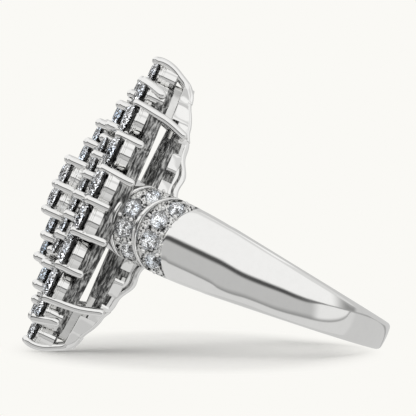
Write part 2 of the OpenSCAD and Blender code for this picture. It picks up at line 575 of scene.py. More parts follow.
@dataclass(frozen=True)
class StoneFire(Effect):
    """Soft patches of spectral colour in a cut stone: painted fire, tints fixed in place that stand in for
    light split into colours.
    """

    name: str = "stone_fire"
    inputs: tuple[tuple[str, float], ...] = (("Strength", 0.5),)
    outputs: tuple[str, ...] = ("Cool", "Warm")
    cool_scale: float = 1.3
    cool_span: tuple[float, float] = (0.48, 0.66)
    warm_scale: float = 1.9
    warm_span: tuple[float, float] = (0.58, 0.7)

    def draw(self, wires: Wiring, given: Sockets, wanted: Sockets) -> None:
        """Spreads two tints over the stones by two slow patterns.

        Args:
            wires: The group's wiring.
            given: The group's inputs.
            wanted: The sockets to fill.
        """
        mirrored = wires.head_vector((1.0, 1.0, -1.0))
        cool = wires.span(wires.noise(wires.head_vector(), self.cool_scale, 1.0), *self.cool_span)
        warm = wires.span(wires.noise(mirrored, self.warm_scale, 1.0), *self.warm_span)
        wires.feed(wanted["Cool"], wires.math("MULTIPLY", cool, given["Strength"]))
        wires.feed(wanted["Warm"], wires.math("MULTIPLY", warm, given["Strength"]))


@dataclass(frozen=True)
class Finish:
    """A material of the ring."""

    name: str

    def material(self) -> bpy.types.Material:
        """Gives the material, made at its first use.

        Returns:
            The material.
        """
        made = bpy.data.materials.get(self.name)
        if made:
            return made
        made = bpy.data.materials.new(self.name)
        made.use_nodes = True
        self.draw(Wiring(made.node_tree), made.node_tree.nodes["Principled BSDF"])
        return made

    def draw(self, wires: Wiring, shader: bpy.types.Node) -> None:
        """Dresses the shader; each finish has its own way."""
        raise NotImplementedError

    def relief(self, wires: Wiring, shader: bpy.types.Node, height: Signal, depth: float) -> None:
        """Raises the surface by a pattern.

        Args:
            wires: The material's wiring.
            shader: Its shader.
            height: The pattern.
            depth: How high it stands, in millimetres.
        """
        made = wires.node("ShaderNodeBump")
        made.inputs["Distance"].default_value = depth * MM
        wires.feed(made.inputs["Height"], height)
        wires.feed(shader.inputs["Normal"], made.outputs["Normal"])


@dataclass(frozen=True)
class PolishedMetal(Finish):
    """Bright white metal from the polishing wheel."""

    color: Point = (0.91, 0.908, 0.9)
    hazed: Point = (0.895, 0.893, 0.885)
    smooth_rough: float = 0.045
    hazed_rough: float = 0.07
    bump: float = 0.004
    hairs: float = 0.03

    def draw(self, wires: Wiring, shader: bpy.types.Node) -> None:
        """Mixes a bright and a hazed polish.

        Args:
            wires: The material's wiring.
            shader: Its shader.
        """
        marks = PolishMarks().use(wires, Hairs=self.hairs)
        rough = wires.span(marks["Haze"], 0.0, 1.0, self.smooth_rough, self.hazed_rough, False)
        shader.inputs["Metallic"].default_value = 1.0
        wires.feed(shader.inputs["Base Color"], wires.blend(marks["Haze"], self.color, self.hazed))
        wires.feed(shader.inputs["Roughness"], rough)
        self.relief(wires, shader, marks["Height"], self.bump)


@dataclass(frozen=True)
class CastShadedMetal(Finish):
    """White metal that keeps its cast skin, darkened towards black as painted shade for the recessed parts
    that it covers.
    """

    # Both tones lie far below the polished metal's: besides the cast skin they are painted shade for
    # recesses
    bright: Point = (0.62, 0.62, 0.61)
    dark: Point = (0.06, 0.06, 0.06)
    bright_rough: float = 0.26
    dark_rough: float = 0.38
    bump: float = 0.09
    pits: float = 0.4

    def draw(self, wires: Wiring, shader: bpy.types.Node) -> None:
        """Darkens the hollows of the grain and raises its streaks; the near-black dark tone is painted
        shade.

        Args:
            wires: The material's wiring.
            shader: Its shader.
        """
        grain = CastGrain().use(wires, Pits=self.pits)
        rough = wires.span(grain["Shade"], 0.0, 1.0, self.dark_rough, self.bright_rough, False)
        shader.inputs["Metallic"].default_value = 1.0
        wires.feed(shader.inputs["Base Color"], wires.blend(grain["Shade"], self.dark, self.bright))
        wires.feed(shader.inputs["Roughness"], rough)
        self.relief(wires, shader, grain["Height"], self.bump)


@dataclass(frozen=True)
class BeadSetShadedMetal(Finish):
    """White metal cut up between the stones of a paved bed, with painted shade in the gaps."""

    bright: Point = (0.95, 0.95, 0.94)
    # Painted shade: the near-black tone stands in for the deep shade between the small stones
    dark: Point = (0.03, 0.03, 0.03)
    rough: float = 0.25
    bump: float = 0.12
    dark_share: float = 0.46

    def draw(self, wires: Wiring, shader: bpy.types.Node) -> None:
        """Sprinkles bright cuts over patches of painted shade.

        Args:
            wires: The material's wiring.
            shader: Its shader.
        """
        speckle = BedShadeSpeckle().use(wires, Dark=self.dark_share)
        shader.inputs["Metallic"].default_value = 1.0
        shader.inputs["Roughness"].default_value = self.rough
        wires.feed(shader.inputs["Base Color"], wires.blend(speckle["Shade"], self.dark, self.bright))
        self.relief(wires, shader, speckle["Height"], self.bump)


@dataclass(frozen=True)
class CutStone(Finish):
    """A brilliant with a little painted fire."""

    clear: Point = (0.97, 0.98, 1.0)
    # Painted light: the cool and warm tints stand in for the stone's fire
    cool: Point = (0.62, 0.75, 0.93)
    warm: Point = (0.93, 0.85, 0.9)
    strength: float = 0.5
    ior: float = 2.42

    def draw(self, wires: Wiring, shader: bpy.types.Node) -> None:
        """Lets light through and tints it in patches.

        Args:
            wires: The material's wiring.
            shader: Its shader.
        """
        fire = StoneFire().use(wires, Strength=self.strength)
        cooled = wires.blend(fire["Cool"], self.clear, self.cool)
        wires.feed(shader.inputs["Base Color"], wires.blend(fire["Warm"], cooled, self.warm))
        shader.inputs["Roughness"].default_value = 0.0
        shader.inputs["IOR"].default_value = self.ior
        shader.inputs["Transmission Weight"].default_value = 1.0


class RingFinish(Enum):
    """The finishes of the ring's pieces."""

    POLISHED = PolishedMetal("white_metal_polished")
    # A rougher polish whose darker tone is also painted shade for the walls in the slots
    SATIN_SHADED = PolishedMetal(
        "white_metal_satin_shaded", color=(0.78, 0.78, 0.77), hazed=(0.7, 0.7, 0.69), smooth_rough=0.1)
    # Cast skin whose dark tones are also painted shade in the recesses
    CAST_SHADED = CastShadedMetal("white_metal_cast_shaded")
    # Painted shade: a near-black finish for the cones under the stones
    SEAT_SHADE = CastShadedMetal("seat_painted_shade", bright=(0.3, 0.3, 0.3), dark=(0.02, 0.02, 0.02))
    # Bright metal and patches of painted shade between the small stones
    BEAD_SET_SHADED = BeadSetShadedMetal("white_metal_bead_set_shaded")
    STONE = CutStone("brilliant_clear")
    BLUE_STONE = CutStone("brilliant_blue", clear=(0.84, 0.92, 1.0), cool=(0.5, 0.68, 0.9), strength=0.8)


class Surface:
    """Points and faces of a piece, gathered in head axes, in millimetres."""

    def __init__(self, finish: RingFinish) -> None:
        """Starts empty, with the finish of every face that isn't given another.

        Args:
            finish: The piece's main finish.
        """
        self.points: list[Point] = []
        self.faces: list[tuple[int, ...]] = []
        self.numbers: list[int] = []
        self.finishes = [finish]

    def number(self, finish: RingFinish | None) -> int:
        """Gives a finish's number on the piece, and notes it at its first use.

        Args:
            finish: The finish; None stands for the main one.

        Returns:
            Its number.
        """
        if finish is None:
            return 0
        if finish not in self.finishes:
            self.finishes.append(finish)
        return self.finishes.index(finish)

    def add(self, points: Sequence[Point], faces: Iterable[Sequence[int]],
            finish: RingFinish | None = None) -> None:
        """Adds a loose lot of points and the faces between them.

        Args:
            points: The points.
            faces: Index lists into points.
            finish: The faces' finish; None stands for the main one.
        """
        base = len(self.points)
        number = self.number(finish)
        self.points.extend(tuple(p) for p in points)
        for face in faces:
            self.faces.append(tuple(base + i for i in face))
            self.numbers.append(number)

    def skin(self, rings: Sequence[Ring], finish: RingFinish | None = None, cap: bool = False) -> None:
        """Joins closed rings of points, each to the next.

        Args:
            rings: Rings of equal length; a ring of one point closes an end to a tip.
            finish: The faces' finish; None stands for the main one.
            cap: Closes both ends with a flat face.
        """
        count = max(len(ring) for ring in rings)
        points: Ring = []
        starts: list[int] = []
        for ring in rings:
            starts.append(len(points))
            points.extend(ring)
        faces: list[tuple[int, ...]] = []
        for a, b, near, far in zip(starts, starts[1:], rings, rings[1:]):
            for i in range(count):
                j = (i + 1) % count
                if len(near) == 1:
                    faces.append((a, b + i, b + j))
                elif len(far) == 1:
                    faces.append((a + i, b, a + j))
                else:
                    faces.append((a + i, b + i, b + j, a + j))
        if cap:
            faces.append(tuple(starts[0] + i for i in range(count)))
            faces.append(tuple(starts[-1] + i for i in range(count)))
        self.add(points, faces, finish)

    def tube(self, path: Sequence[Vector], radii: Sequence[float], sides: int, power: float = 2.0) -> None:
        """Sweeps a round or squarish section along a path.

        Args:
            path: Points along the middle.
            radii: Radius at each point; 0 closes the end.
            sides: Corners of the section.
            power: 2 for a round section; more for flatter sides.
        """
        rings: list[Ring] = []
        last = len(path) - 1
        for i, (middle, radius) in enumerate(zip(path, radii)):
            ahead = (path[min(i + 1, last)] - path[max(i - 1, 0)]).normalized()
            side = Vector((0.0, 1.0, 0.0))
            side = (side - ahead * side.dot(ahead)).normalized()
            up = ahead.cross(side)
            if radius < POINTED:
                rings.append([tuple(middle)])
                continue
            corners = [squarish(math.tau * k / sides, power) for k in range(sides)]
            rings.append([tuple(middle + radius * (a * side + b * up)) for a, b in corners])
        self.skin(rings)

    def lathe(self, profile: Section, middle: Point, sides: int,
              finish: RingFinish | None = None) -> None:
        """Turns a profile round an axis along w.

        Args:
            profile: Pairs of radius and height above the middle.
            middle: Where the axis stands.
            sides: Corners round the axis.
            finish: The faces' finish; None stands for the main one.
        """
        u, v, w = middle
        turn = [math.tau * (k + 0.5) / sides for k in range(sides)]
        rings: list[Ring] = []
        for radius, height in profile:
            rings.append([(u + radius * math.cos(a), v + radius * math.sin(a), w + height) for a in turn])
        self.skin(rings, finish)

    def build(self, name: str, sharp_deg: float | None = None) -> bpy.types.Object:
        """Makes the piece and lets it ride on the ring's body.

        Args:
            name: The piece's name.
            sharp_deg: Edges that bend more than this stay sharp; None leaves every face flat.

        Returns:
            The new object.
        """
        mesh = bpy.data.meshes.new(name)
        mesh.from_pydata([AXES.place(p) for p in self.points], [], self.faces)
        for finish in self.finishes:
            mesh.materials.append(finish.value.material())
        mesh.polygons.foreach_set("material_index", self.numbers)
        shell = bmesh.new()
        shell.from_mesh(mesh)
        bmesh.ops.remove_doubles(shell, verts=shell.verts, dist=WELD)
        bmesh.ops.recalc_face_normals(shell, faces=shell.faces)
        shell.to_mesh(mesh)
        shell.free()
        if sharp_deg is not None:
            mesh.shade_smooth()
            mesh.set_sharp_from_angle(angle=math.radians(sharp_deg))
        obj = bpy.data.objects.new(name, mesh)
        bpy.context.scene.collection.objects.link(obj)
        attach(obj, BODY)
        LOG.info("%s: %d faces", name, len(mesh.polygons))
        return obj


@dataclass(frozen=True)
class Arc:
    """A rim's curve in the side view: it bulges towards the head at the middle of the band."""

    top: float
    radius: float

    def height(self, u: float) -> float:
        """Returns w of the curve at a place along the finger."""
        return self.top - self.radius + math.sqrt(self.radius ** 2 - u ** 2)

    def raised(self, by: float) -> "Arc":
        """Returns the same curve, moved towards the head."""
        return Arc(self.top + by, self.radius)


@dataclass
class Shank:
    """The band and its shoulders, with raised rims and sunk beds in the shoulders."""

    finger_r: float = 8.65
    thick: float = 1.6
    # Radius of the band's domed outside across the band
    dome_r: float = 5.7
    half_shoulder: float = 2.8
    half_back: float = 1.05
    # Heights between which the band tapers, and the share of them over which its taper sets in
    back_w: float = -10.15
    taper_w: float = 6.4
    taper_ease: float = 0.12
    edge_r: float = 0.3
    inner_edge_r: float = 0.16
    # Angle from the band's back where the round band goes over into a straight shoulder
    shoulder_deg: float = 115.0
    # Upper lines of the rims and of the plain band below them, the rims' width and the beds' depth
    rim_1: Arc = Arc(12.35, 3.2)
    rim_2: Arc = Arc(10.6, 3.0)
    plain: Arc = Arc(8.35, 3.4)
    rim_w: float = 0.42
    bed: float = 0.4
    # How far a bed's floor stays from the rims above and below it
    bed_wall: float = 0.03
    # Share of the shoulder's half width at which a row's height sets the width of the whole row
    width_at: float = 0.9
    # How far the inside of a row lies below its outside
    inner_drop: float = 0.02
    # Angles of the points round the band's outer edges
    edge_deg: tuple[float, ...] = (0, 22, 45, 66)
    # Depth of a rim's rounded side below the dome, across its width from the head's side
    rim_shape: Rows = (
        (0.0, 0.13), (0.14, 0.04), (0.3, -0.02), (0.5, -0.045), (0.7, -0.02), (0.86, 0.04), (1.0, 0.13))
    plain_shape: Rows = ((0.0, 0.2), (0.03, 0.1), (0.09, 0.03), (0.2, 0.0))
    # Height from which an inner face may leave the finger hole, and height and place across the head
    # of its lower and upper end
    inner_from: float = 5.0
    inner_faces: Rows = ((6.0, 5.05), (14.0, 3.7))
    outer_columns: int = 26
    inner_columns: int = 8
    turn_rows: int = 38
    bed_rows: int = 4
    plain_rows: int = 8

    def dome(self, u: float) -> float:
        """Returns the distance of the band's outside from the finger's axis."""
        return self.finger_r + self.thick - self.dome_r + math.sqrt(self.dome_r ** 2 - u ** 2)

    def half(self, w: float) -> float:
        """Finds half of the band's width.

        Args:
            w: The height.

        Returns:
            Half of the width there.
        """
        share = (self.taper_w - w) / (self.taper_w - self.back_w)
        ease = self.taper_ease
        if share < ease:
            share = max(share + ease, 0.0) ** 2 / (4 * ease)
        return mix(self.half_shoulder, self.half_back, min(share, 1.0))

    def section(self, half: float) -> tuple[Section, list[float]]:
        """Lays out the outside of one cross-section and the inside below it.

        Args:
            half: Half of its width.

        Returns:
            Pairs of u and drop below the dome for the outside, and u of the inside's points.
        """
        flat = half - self.edge_r
        corner = [math.radians(a) for a in self.edge_deg]
        edge = [(flat + self.edge_r * math.cos(a), self.edge_r * (1 - math.sin(a))) for a in corner]
        outside = [(-u, drop) for u, drop in edge]
        outside += [(u, 0.0) for u in steps(-flat, flat, self.outer_columns)]
        outside += list(reversed(edge))
        inside = steps(half - self.inner_edge_r, self.inner_edge_r - half, self.inner_columns)
        return outside, inside

    def inner_v(self, w: float) -> float:
        """Finds the inner face, which goes round the finger and then up the shoulder.

        Args:
            w: The height.

        Returns:
            Its v there.
        """
        round_v = math.sqrt(max(self.finger_r ** 2 - w ** 2, 0.0))
        (w0, v0), (w1, v1) = self.inner_faces
        return min(round_v, mix(v0, v1, (w - w0) / (w1 - w0))) if w > self.inner_from else round_v

    def straight_point(self, u: float, w: float, depth: float, side: int) -> Point:
        """Places a point of the shoulder's outside.

        Args:
            u: Place along the finger.
            w: Height on the undisturbed dome.
            depth: How far below the dome.
            side: 1 or -1 for the two shoulders.

        Returns:
            The point.
        """
        lean = math.radians(self.shoulder_deg - 90.0)
        sine, cosine = math.sin(lean), math.cos(lean)
        run = (w - sine * self.dome(u)) / cosine
        reach = self.dome(u) - depth
        return u, side * (cosine * reach - sine * run), sine * reach + cosine * run

    def between(self, a: Height, b: Height, t: float) -> Height:
        """Returns the line at share t of the way from line a to line b."""
        return lambda u: mix(a(u), b(u), t)

    def shoulder_rows(self) -> list[tuple[Height, float]]:
        """Lists the rows of the shoulder from the head down.

        Returns:
            For each row its height as a function of u, and its depth.
        """
        rows: list[tuple[Height, float]] = []
        for arc in (self.rim_1, self.rim_2):
            for share, depth in self.rim_shape:
                rows.append((arc.raised(-share * self.rim_w).height, depth))
            below = self.rim_2 if arc is self.rim_1 else self.plain
            start = arc.raised(-self.rim_w - self.bed_wall)
            end = below.raised(self.bed_wall)
            for t in steps(0.0, 1.0, self.bed_rows):
                rows.append((self.between(start.height, end.height, t), self.bed))
        for drop, depth in self.plain_shape:
            rows.append((self.plain.raised(-drop).height, depth))
        last = self.plain.raised(-self.plain_shape[-1][0])
        lean = math.sin(math.radians(self.shoulder_deg - 90.0))
        for t in steps(0.0, 1.0, self.plain_rows)[1:-1]:
            rows.append((self.between(last.height, lambda u: lean * self.dome(u), t), 0.0))
        return rows

    def shoulder_ring(self, height: Height, depth: float, side: int) -> Ring:
        """Places one cross-section of a shoulder.

        Args:
            height: The row's height as a function of u.
            depth: Its depth below the dome.
            side: 1 or -1.

        Returns:
            The closed ring of points.
        """
        outside, inside = self.section(self.half(height(self.half_shoulder * self.width_at)))
        ring = [self.straight_point(u, height(u), depth + drop, side) for u, drop in outside]
        for u in inside:
            w = height(u) - self.inner_drop
            ring.append((u, side * self.inner_v(w), w))
        return ring

    def turn_ring(self, angle: float, side: int) -> Ring:
        """Places one cross-section of the round band.

        Args:
            angle: Angle from the band's back, in radians.
            side: 1 or -1.

        Returns:
            The closed ring of points.
        """
        outside, inside = self.section(self.half(-(self.finger_r + self.thick) * math.cos(angle)))
        ring: Ring = []
        for u, drop in outside:
            reach = self.dome(u) - drop
            ring.append((u, side * reach * math.sin(angle), -reach * math.cos(angle)))
        for u in inside:
            w = -self.finger_r * math.cos(angle)
            ring.append((u, side * self.inner_v(w), w))
        return ring

    def rings(self) -> list[Ring]:
        """Places all cross-sections.

        Returns:
            The rings, from one shoulder's end round the back to the other's.
        """
        turn = [math.radians(a) for a in steps(self.shoulder_deg, 0.0, self.turn_rows)]
        rows = self.shoulder_rows()
        near = [self.shoulder_ring(height, depth, -1) for height, depth in rows]
        near += [self.turn_ring(a, -1) for a in turn[:-1]]
        far = [self.shoulder_ring(height, depth, 1) for height, depth in rows]
        far += [self.turn_ring(a, 1) for a in turn]
        return near + far[::-1]

    def make(self) -> bpy.types.Object:
        """Builds the band with its shoulders.

        Returns:
            The piece.
        """
        skin = Surface(RingFinish.POLISHED)
        rings = self.rings()
        skin.skin(rings)
        self.dress_beds(skin, rings)
        outside = len(self.section(self.half_shoulder)[0])
        for ring in (rings[0], rings[-1]):
            self.close(skin, ring[:outside], ring[outside:][::-1])
        return skin.build("band_and_shoulders", sharp_deg=50.0)

    def dress_beds(self, skin: Surface, rings: Sequence[Ring]) -> None:
        """Gives the floors of the paved beds their own finish.

        Args:
            skin: The band's surface.
            rings: Its cross-sections.
        """
        columns = len(self.section(self.half_shoulder)[0]) - 1
        number = skin.number(RingFinish.BEAD_SET_SHADED)
        depths = [depth for _, depth in self.shoulder_rows()]
        for i, (above, below) in enumerate(zip(depths, depths[1:])):
            if min(above, below) < self.bed:
                continue
            for row in (i, len(rings) - 2 - i):
                first = row * len(rings[0])
                skin.numbers[first:first + columns] = [number] * columns

    def close(self, skin: Surface, front: Ring, back: Ring) -> None:
        """Closes a shoulder's end between its outside and its inside.

        Args:
            skin: Where to add the faces.
            front: Points of the outside.
            back: Points of the inside, in the same order of u.
        """
        points = front + back
        count = len(front)
        faces: list[tuple[int, ...]] = []
        at = 0
        for i in range(count - 1):
            reach = (i + 1) / (count - 1) * (len(back) - 1)
            if reach >= at + 1 and at < len(back) - 1:
                faces.append((i, i + 1, count + at + 1, count + at))
                at += 1
            else:
                faces.append((i, i + 1, count + at))
        skin.add(points, faces)


@dataclass(frozen=True)
class PaveStone:
    """A small brilliant or a bead in a shoulder's bed: its place in the side view, and its diameter."""

    u: float
    w: float
    dia: float


def polygon(radius: float, height: float, shift: float, count: int) -> Ring:
    """Places the corners of a level polygon round the w axis.

    Args:
        radius: Its radius.
        height: Its height.
        shift: Angle of its first corner, in radians.
        count: Number of corners.

    Returns:
        The corners.
    """
    turn = [shift + k * math.tau / count for k in range(count)]
    return [(radius * math.cos(a), radius * math.sin(a), height) for a in turn]


@dataclass(frozen=True)
class Brilliant:
    """The facets of a round brilliant."""

    dia: float

    def facets(self) -> tuple[list[Point], list[tuple[int, ...]]]:
        """Works out the corners and faces round the w axis, with the girdle at height 0.

        Returns:
            The points and the faces.
        """
        radius = self.dia / 2
        half = Cut.HALF_GIRDLE * self.dia
        crown = Cut.CROWN * self.dia
        deep = Cut.PAVILION * self.dia
        table_r = Cut.TABLE_R * self.dia
        step = math.tau / Cut.SIDES
        middle = math.cos(step / 2)
        star_r = mix(table_r * middle, radius, Cut.STAR)
        star_h = half + crown * (radius - star_r * middle) / (radius - table_r)
        low_r = radius * Cut.LOWER_HALF
        low_h = -half - deep * (1 - low_r * middle / radius)
        n = Cut.SIDES
        points = polygon(table_r, half + crown, 0.0, n) + polygon(star_r, star_h, step / 2, n)
        points += polygon(radius, half, 0.0, 2 * n) + polygon(radius, -half, 0.0, 2 * n)
        points += polygon(low_r, low_h, step / 2, n) + [(0.0, 0.0, -half - deep)]
        top, star, upper, lower, low, tip = 0, n, 2 * n, 4 * n, 6 * n, 7 * n
        faces: list[tuple[int, ...]] = [tuple(range(n))]
        for k in range(n):
            after, before = (k + 1) % n, (k - 1) % n
            mid, right = 2 * k + 1, (2 * k + 2) % (2 * n)
            faces.append((top + k, star + k, top + after))
            faces.append((top + k, star + before, upper + 2 * k, star + k))
            faces.append((star + k, upper + 2 * k, upper + mid))
            faces.append((star + k, upper + mid, upper + right))
            faces.append((upper + 2 * k, lower + 2 * k, lower + mid, upper + mid))
            faces.append((upper + mid, lower + mid, lower + right, upper + right))
            faces.append((lower + 2 * k, low + k, lower + mid))
            faces.append((lower + mid, low + k, lower + right))
            faces.append((lower + 2 * k, low + before, tip, low + k))
        return points, faces

    def add_to(self, skin: Surface, middle: Vector, out: Vector, turn: float) -> None:
        """Adds the stone to a surface.

        Args:
            skin: Where to add it.
            middle: The middle of its girdle.
            out: Direction of its table.
            turn: How far it is turned round that direction, in radians.
        """
        side = Vector((1.0, 0.0, 0.0))
        side = (side - out * side.dot(out)).normalized()
        other = out.cross(side)
        side, other = (side * math.cos(turn) + other * math.sin(turn),
                       other * math.cos(turn) - side * math.sin(turn))
        points, faces = self.facets()
        skin.add([tuple(middle + x * side + y * other + z * out) for x, y, z in points], faces)


@dataclass(frozen=True)
class Outline:
    """A pointed oval of two arcs, with its points cut off."""

    length: float
    width: float
    cut: float = 0.0

    @property
    def radius(self) -> float:
        """Returns the radius of both arcs."""
        return (self.length ** 2 + self.width ** 2) / (4 * self.width)

    @property
    def reach(self) -> float:
        """Returns how far the oval goes along the head to either side."""
        return (self.length - self.cut) / 2

    def at(self, u: float, inset: float, side: int) -> tuple[float, float]:
        """Finds a point on or inside the outline.

        Args:
            u: Place along the head on the outline itself.
            inset: How far inside the outline, square to it.
            side: 1 or -1 across the head.

        Returns:
            Its u and v.
        """
        turn = math.asin(u / self.radius)
        inner = self.radius - inset
        v = inner * math.cos(turn) - (self.radius - self.width / 2)
        return inner * math.sin(turn), side * max(v, 0.0)


def rounded(inset: tuple[float, float], w: tuple[float, float], radius: float,
            bulge: float = 0.0) -> Section:
    """Draws a bar's section with rounded corners on its outside.

    Args:
        inset: Its outside and inside, as depths below the outline.
        w: Its lower and upper side.
        radius: Radius of the two outer corners.
        bulge: How much its outside stands out at mid height.

    Returns:
        Pairs of inset and w, all round.
    """
    (front, back), (low, high) = inset, w
    quarter = [math.radians(a) for a in (0, 30, 60, 90)]
    lower = [(front + radius * (1 - math.cos(a)), low + radius * (1 - math.sin(a))) for a in quarter]
    upper = [(front + radius * (1 - math.cos(a)), high - radius * (1 - math.sin(a))) for a in quarter]
    middle = (0.25, 0.5, 0.75)
    face = [(front - bulge * math.sin(math.pi * t), mix(low + radius, high - radius, t)) for t in middle]
    return lower[::-1] + face + upper + [(back, high), (back, low)]


def level(w: float) -> Height:
    """Returns a line that stays at one height."""
    return lambda u: w


@dataclass(frozen=True)
class Bar:
    """A bar of the gallery, with its outside and inside as depths, and its lower and upper lines."""

    finish: RingFinish
    inset: tuple[float, float]
    corner: float
    low: Height
    high: Height

    def section(self, u: float) -> Section:
        """Returns the bar's section at a place along the head."""
        return rounded(self.inset, (self.low(u), self.high(u)), self.corner)


@dataclass(frozen=True)
class Block:
    """A polished block of the gallery, whose face is crowned both ways."""

    first: float
    last: float
    low: Height
    high: Height
    back: float
    # How far its ends fall back from its middle
    crown: float
    crown_power: int = 6
    corner: float = 0.1
    bulge: float = 0.03

    def section(self, u: float) -> Section:
        """Draws the block's section.

        Args:
            u: The place along the head.

        Returns:
            Pairs of inset and w, all round.
        """
        across = abs(2 * (u - self.first) / (self.last - self.first) - 1)
        front = self.crown * across ** self.crown_power
        return rounded((front, self.back), (self.low(u), self.high(u)), self.corner, self.bulge)


@dataclass
class Gallery:
    """The frame under the head: scalloped rail, polished blocks, windows and lobes at the tips."""

    outline: Outline = Outline(22.1, 11.0, 1.3)
    wall: float = 0.95
    top: float = 10.45
    plate_low: float = 11.55
    # Heights of the lower edge, by the distance from the head's middle
    steps_low: Rows = (
        (0.0, 8.1), (4.3, 8.45), (5.1, 8.65), (6.1, 9.0), (7.0, 9.25), (8.2, 9.5), (9.3, 10.05),
        (10.4, 10.12))
    rail_h: float = 0.42
    groove: float = 0.14
    wave: float = 0.1
    wave_len: float = 2.2
    wave_fade: float = 0.8
    window_u: tuple[float, ...] = (3.95, 6.1)
    window_w: float = 0.8
    window_z: tuple[float, float] = (9.2, 9.95)
    # Where the backs of the windows start, as a share of the windows' height
    window_back: float = 0.35
    block_crown: float = 0.12
    lobe_u: tuple[float, ...] = (6.95, 7.9, 9.2, 10.4)
    lobe_rise: float = 0.55
    lobe_crown: float = 0.07
    lobe_rail: tuple[float, float] = (6.8, 9.75)
    lobe_rail_h: float = 0.3
    # Depth of the wall that closes the slot between a long prong and a tip
    infill: float = 0.32
    # How deep neighbours reach into one another, and the length of a swept step
    overlap: float = 0.02
    column: float = 0.1

    def low(self, u: float) -> float:
        """Finds the lower edge, softened and waved.

        Args:
            u: The place along the head.

        Returns:
            Its w there.
        """
        near = [table(self.steps_low, abs(u) + shift) for shift in (-0.4, -0.2, 0.0, 0.2, 0.4)]
        fade = 1.0 - min(max((abs(u) - self.lobe_u[0]) / self.wave_fade, 0.0), 1.0)
        return sum(near) / len(near) - fade * self.wave * math.cos(math.tau * abs(u) / self.wave_len)

    def above(self, by: float) -> Height:
        """Returns the line at a height above the lower edge."""
        return lambda u: self.low(u) + by

    def sweep(self, skin: Surface, reach: tuple[float, float], side: int, finish: RingFinish,
              section: Callable[[float], Section]) -> None:
        """Sweeps a section along the outline.

        Args:
            skin: Where to add it.
            reach: u of its start and its end.
            side: 1 or -1 across the head.
            finish: Its finish.
            section: Gives pairs of inset and w at each u.
        """
        count = max(4, round((reach[1] - reach[0]) / self.column))
        rings: list[Ring] = []
        for u in steps(*reach, count):
            rings.append([(*self.outline.at(u, inset, side), w) for inset, w in section(u)])
        skin.skin(rings, finish, cap=True)

    def side_bars(self) -> list[Bar]:
        """Lists the bars of a long side: rail, skirt, sill, upper wall and the windows' backs.

        Returns:
            The bars.
        """
        low_z, high_z = self.window_z
        wall, over = self.wall, self.overlap
        sill = self.above(self.rail_h + self.groove)
        return [
            Bar(RingFinish.POLISHED, (0.0, 0.55), 0.18, self.low, self.above(self.rail_h)),
            Bar(RingFinish.CAST_SHADED, (0.32, wall), 0.02, self.above(0.05), level(low_z - over)),
            Bar(RingFinish.POLISHED, (0.1, wall - 0.1), 0.05, sill, level(low_z)),
            Bar(RingFinish.CAST_SHADED, (0.16, wall), 0.04, level(high_z), level(self.top)),
            Bar(RingFinish.CAST_SHADED, (0.6, wall + over), 0.02, level(mix(low_z, high_z, self.window_back)),
                level(high_z + 0.05)),
        ]

    def add_side(self, skin: Surface, side: int) -> None:
        """Adds one long side of the frame.

        Args:
            skin: Where to add it.
            side: 1 or -1 across the head.
        """
        end = self.lobe_u[0]
        for bar in self.side_bars():
            self.sweep(skin, (-end, end), side, bar.finish, bar.section)
        half = self.window_w / 2
        edges = [-end]
        for u in sorted([-u for u in self.window_u] + list(self.window_u)):
            edges += [u - half, u + half]
        edges.append(end)
        low, high = level(self.window_z[0] - 0.03), level(self.window_z[1] + 0.03)
        for first, last in zip(edges[::2], edges[1::2]):
            block = Block(first, last, low, high, self.wall, self.block_crown)
            self.sweep(skin, (first, last), side, RingFinish.POLISHED, block.section)

    def add_lobes(self, skin: Surface, side: int, end: int) -> None:
        """Adds the smooth lobes between a long prong and a tip, their rail and the wall in the slot.

        Args:
            skin: Where to add them.
            side: 1 or -1 across the head.
            end: 1 or -1 along the head.
        """
        for i, (near, far) in enumerate(zip(self.lobe_u, self.lobe_u[1:])):
            top = self.top if i == 0 else self.top + self.lobe_rise
            first, last = sorted((end * (near - self.overlap / 2), end * (far + self.overlap / 2)))
            block = Block(first, last, self.low, level(top), self.wall, self.lobe_crown)
            self.sweep(skin, (first, last), side, RingFinish.POLISHED, block.section)
        rail_low, rail_high = self.above(-self.overlap), self.above(self.lobe_rail_h)
        rail = Bar(RingFinish.POLISHED, (-0.05, 0.3), 0.13, rail_low, rail_high)
        fill_low, fill_high = level(self.top), level(self.plate_low + self.overlap)
        fill = Bar(RingFinish.SATIN_SHADED, (self.infill, self.wall), 0.03, fill_low, fill_high)
        for bar, (near, far) in ((rail, self.lobe_rail), (fill, (self.lobe_u[1], self.lobe_u[-1]))):
            first, last = sorted((end * near, end * far))
            self.sweep(skin, (first, last), side, bar.finish, bar.section)

    def make(self) -> bpy.types.Object:
        """Builds the gallery.

        Returns:
            The piece.
        """
        skin = Surface(RingFinish.POLISHED)
        for side in (-1, 1):
            self.add_side(skin, side)
            for end in (-1, 1):
                self.add_lobes(skin, side, end)
        return skin.build("gallery", sharp_deg=40.0)


